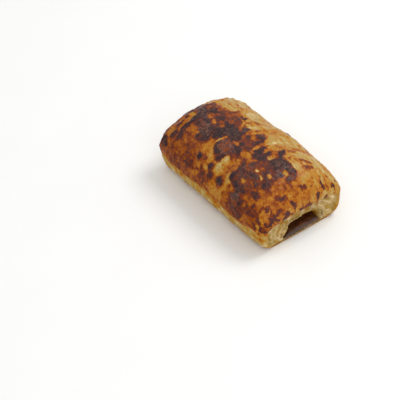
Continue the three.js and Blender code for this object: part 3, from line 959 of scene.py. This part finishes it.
def baked_dough():
    """Crust and crumb, coloured by how baked each place is, with painted sheen on the dark and egg
    wash.
    """
    finish = Finish("baked_dough")
    browning = finish.attribute("browning")
    crumb = finish.attribute("crumb")
    bloom = finish.attribute("bloom")
    glaze = finish.attribute("glaze")
    blotch = finish.specks(2.2, 3)
    speck = finish.specks(0.8, 3, roughness=0.6)
    fibre = finish.specks(1.1, 3, stretch=(0.18, 1, 1))
    fold = finish.specks(4, 3, stretch=(0.7, 1, 1))
    # fine creases: sunk by the bump, and darkened along their lines with painted shade
    crease_and_shade = finish.step(abs(fold - 0.5), 0, 0.022, 1, 0) * finish.step(browning, 0.3, 0.55, 1, 0)
    level = browning + (blotch - 0.5) * 0.24 + (speck - 0.5) * (0.16 + browning * 0.20)
    level = level + (fibre - 0.5) * 0.10 + crease_and_shade * (1 - crumb) * 0.16
    colour = finish.ramp(level, [(at, paint(code)) for at, code in BAKED_COLOURS])
    dark = finish.step(level, 0.56, 0.78)
    # scattered specks of painted glint on the darkest crust, with the painted sheen where its marks
    # lie, turn the colour greyer
    glint_specks = finish.step(finish.specks(1.5, 4, roughness=0.7), 0.44, 0.62)
    painted_sheen_share = dark * (bloom * 0.08 + glint_specks * (0.10 + bloom * 0.46))
    colour = finish.mix(painted_sheen_share, colour, paint(PAINTED_SHEEN_COLOUR))
    roughness = 0.38 + crumb * 0.3 + dark * 0.05 + (speck - 0.5) * 0.2
    height = speck * 0.5 + blotch * 0.5 + fibre * 0.4 - crease_and_shade * 0.3
    normal = finish.node(
        "ShaderNodeBump", {},
        {"Height": height, "Strength": 0.7, "Distance": BUMP_DEPTH * MM}, "Normal")
    return finish.surface({
        "Base Color": colour, "Roughness": roughness, "Normal": normal,
        "IOR": 1.45, "Specular IOR Level": 0.08,
        "Coat Weight": glaze * (speck + 0.1) * 0.5, "Coat Roughness": 0.24, "Coat IOR": 1.4,
    })


def soft_chocolate():
    """Dark, slightly glossy filling with paler clouds in it."""
    finish = Finish("soft_chocolate")
    clouds = finish.specks(4, 3)
    speck = finish.specks(0.7, 3, roughness=0.6)
    colour = finish.mix(finish.step(clouds, 0.35, 0.7), paint("#3b1d10"), paint("#54301c"))
    normal = finish.node(
        "ShaderNodeBump", {},
        {"Height": speck * 0.4 + clouds * 0.6, "Strength": 0.5, "Distance": BUMP_DEPTH * MM}, "Normal")
    return finish.surface({
        "Base Color": colour, "Roughness": 0.36 + (speck - 0.5) * 0.2, "Normal": normal,
        "IOR": 1.48, "Specular IOR Level": 0.3,
    })


def plain_floor():
    finish = Finish("plain_floor")
    tone = finish.specks(60, 2)
    colour = finish.mix(tone, paint("#f3f3f1"), paint("#efefed"))
    return finish.surface({"Base Color": colour, "Roughness": 0.85})


# ---------------------------------------------------------------- making the pieces


def true_to_size(dough_points, *others):
    """Fits the dough to the solid's size, and moves the others with it."""
    low = dough_points.reshape(-1, 3).min(axis=0)
    high = dough_points.reshape(-1, 3).max(axis=0)
    scale = (cad_high - cad_low) / (high - low)
    return [(points - low) * scale + cad_low for points in (dough_points, *others)]


dough_points, looks = shape_dough()
filling_points = shape_filling()
dough_points, filling_points = true_to_size(dough_points, filling_points)

roll = closed_grid_mesh("baked_roll", dough_points, looks, True)
roll.data.materials.append(baked_dough())
filling = closed_grid_mesh("chocolate_slab", filling_points, {}, False)
filling.data.materials.append(soft_chocolate())

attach(roll, "root")
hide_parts("pastry")
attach(filling, "root")
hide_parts("chocolate_filling")

# ---------------------------------------------------------------- floor, light and camera

FLOOR_REACH = 6.0         # metres, like every place from here on
LIGHT_TARGET = (0, 0, 0.02)
ROOM_LIGHT = 0.78         # strength of the even light from all sides

floor_shell = bmesh.new()
bmesh.ops.create_grid(floor_shell, x_segments=1, y_segments=1, size=FLOOR_REACH)
floor_mesh = bpy.data.meshes.new("floor")
floor_shell.to_mesh(floor_mesh)
floor_shell.free()
floor = bpy.data.objects.new("floor", floor_mesh)
bpy.context.scene.collection.objects.link(floor)
floor.data.materials.append(plain_floor())


def aim(item, place, target):
    """Puts an item at a place, turned towards a target."""
    item.location = place
    item.rotation_mode = "QUATERNION"
    item.rotation_quaternion = (Vector(target) - Vector(place)).to_track_quat("-Z", "Y")


def soft_light(name, place, size, power):
    lamp = bpy.data.lights.new(name, "AREA")
    lamp.shape = "SQUARE"
    lamp.size = size
    lamp.energy = power
    item = bpy.data.objects.new(name, lamp)
    bpy.context.scene.collection.objects.link(item)
    aim(item, place, LIGHT_TARGET)


soft_light("key_light", place=(0.1, 0.6, 0.9), size=0.5, power=4.7)
soft_light("fill_light", place=(0.9, -0.5, 0.8), size=0.9, power=2.8)

world = bpy.data.worlds.new("pale_room")
world.use_nodes = True
backdrop = world.node_tree.nodes["Background"]
backdrop.inputs["Color"].default_value = (1, 1, 1, 1)
backdrop.inputs["Strength"].default_value = ROOM_LIGHT
bpy.context.scene.world = world

VIEW_AZIMUTH = 55.42       # degrees, from -Y towards +X
VIEW_ELEVATION = 42.03
VIEW_ROLL = -2.99
VIEW_PLACE = (0.5645, -0.4304, 0.6311)     # metres
LENS = 123.14              # millimetres, like the width of the sensor
SENSOR = 36


def photo_camera():
    """The camera at the photo's angle and distance."""
    lens = bpy.data.cameras.new("camera")
    lens.lens = LENS
    lens.sensor_width = SENSOR
    camera = bpy.data.objects.new("camera", lens)
    bpy.context.scene.collection.objects.link(camera)
    azimuth, elevation = math.radians(VIEW_AZIMUTH), math.radians(VIEW_ELEVATION)
    back = Vector((
        math.sin(azimuth) * math.cos(elevation),
        -math.cos(azimuth) * math.cos(elevation),
        math.sin(elevation),
    ))
    level = Matrix((Vector((0, 0, 1)).cross(back).normalized(),
                    back.cross(Vector((0, 0, 1)).cross(back)).normalized(),
                    back)).transposed()
    tilt = Matrix.Rotation(math.radians(VIEW_ROLL), 4, "Z")
    camera.matrix_world = Matrix.Translation(VIEW_PLACE) @ level.to_4x4() @ tilt
    bpy.context.scene.camera = camera


photo_camera()
bpy.context.scene.view_settings.view_transform = "Standard"
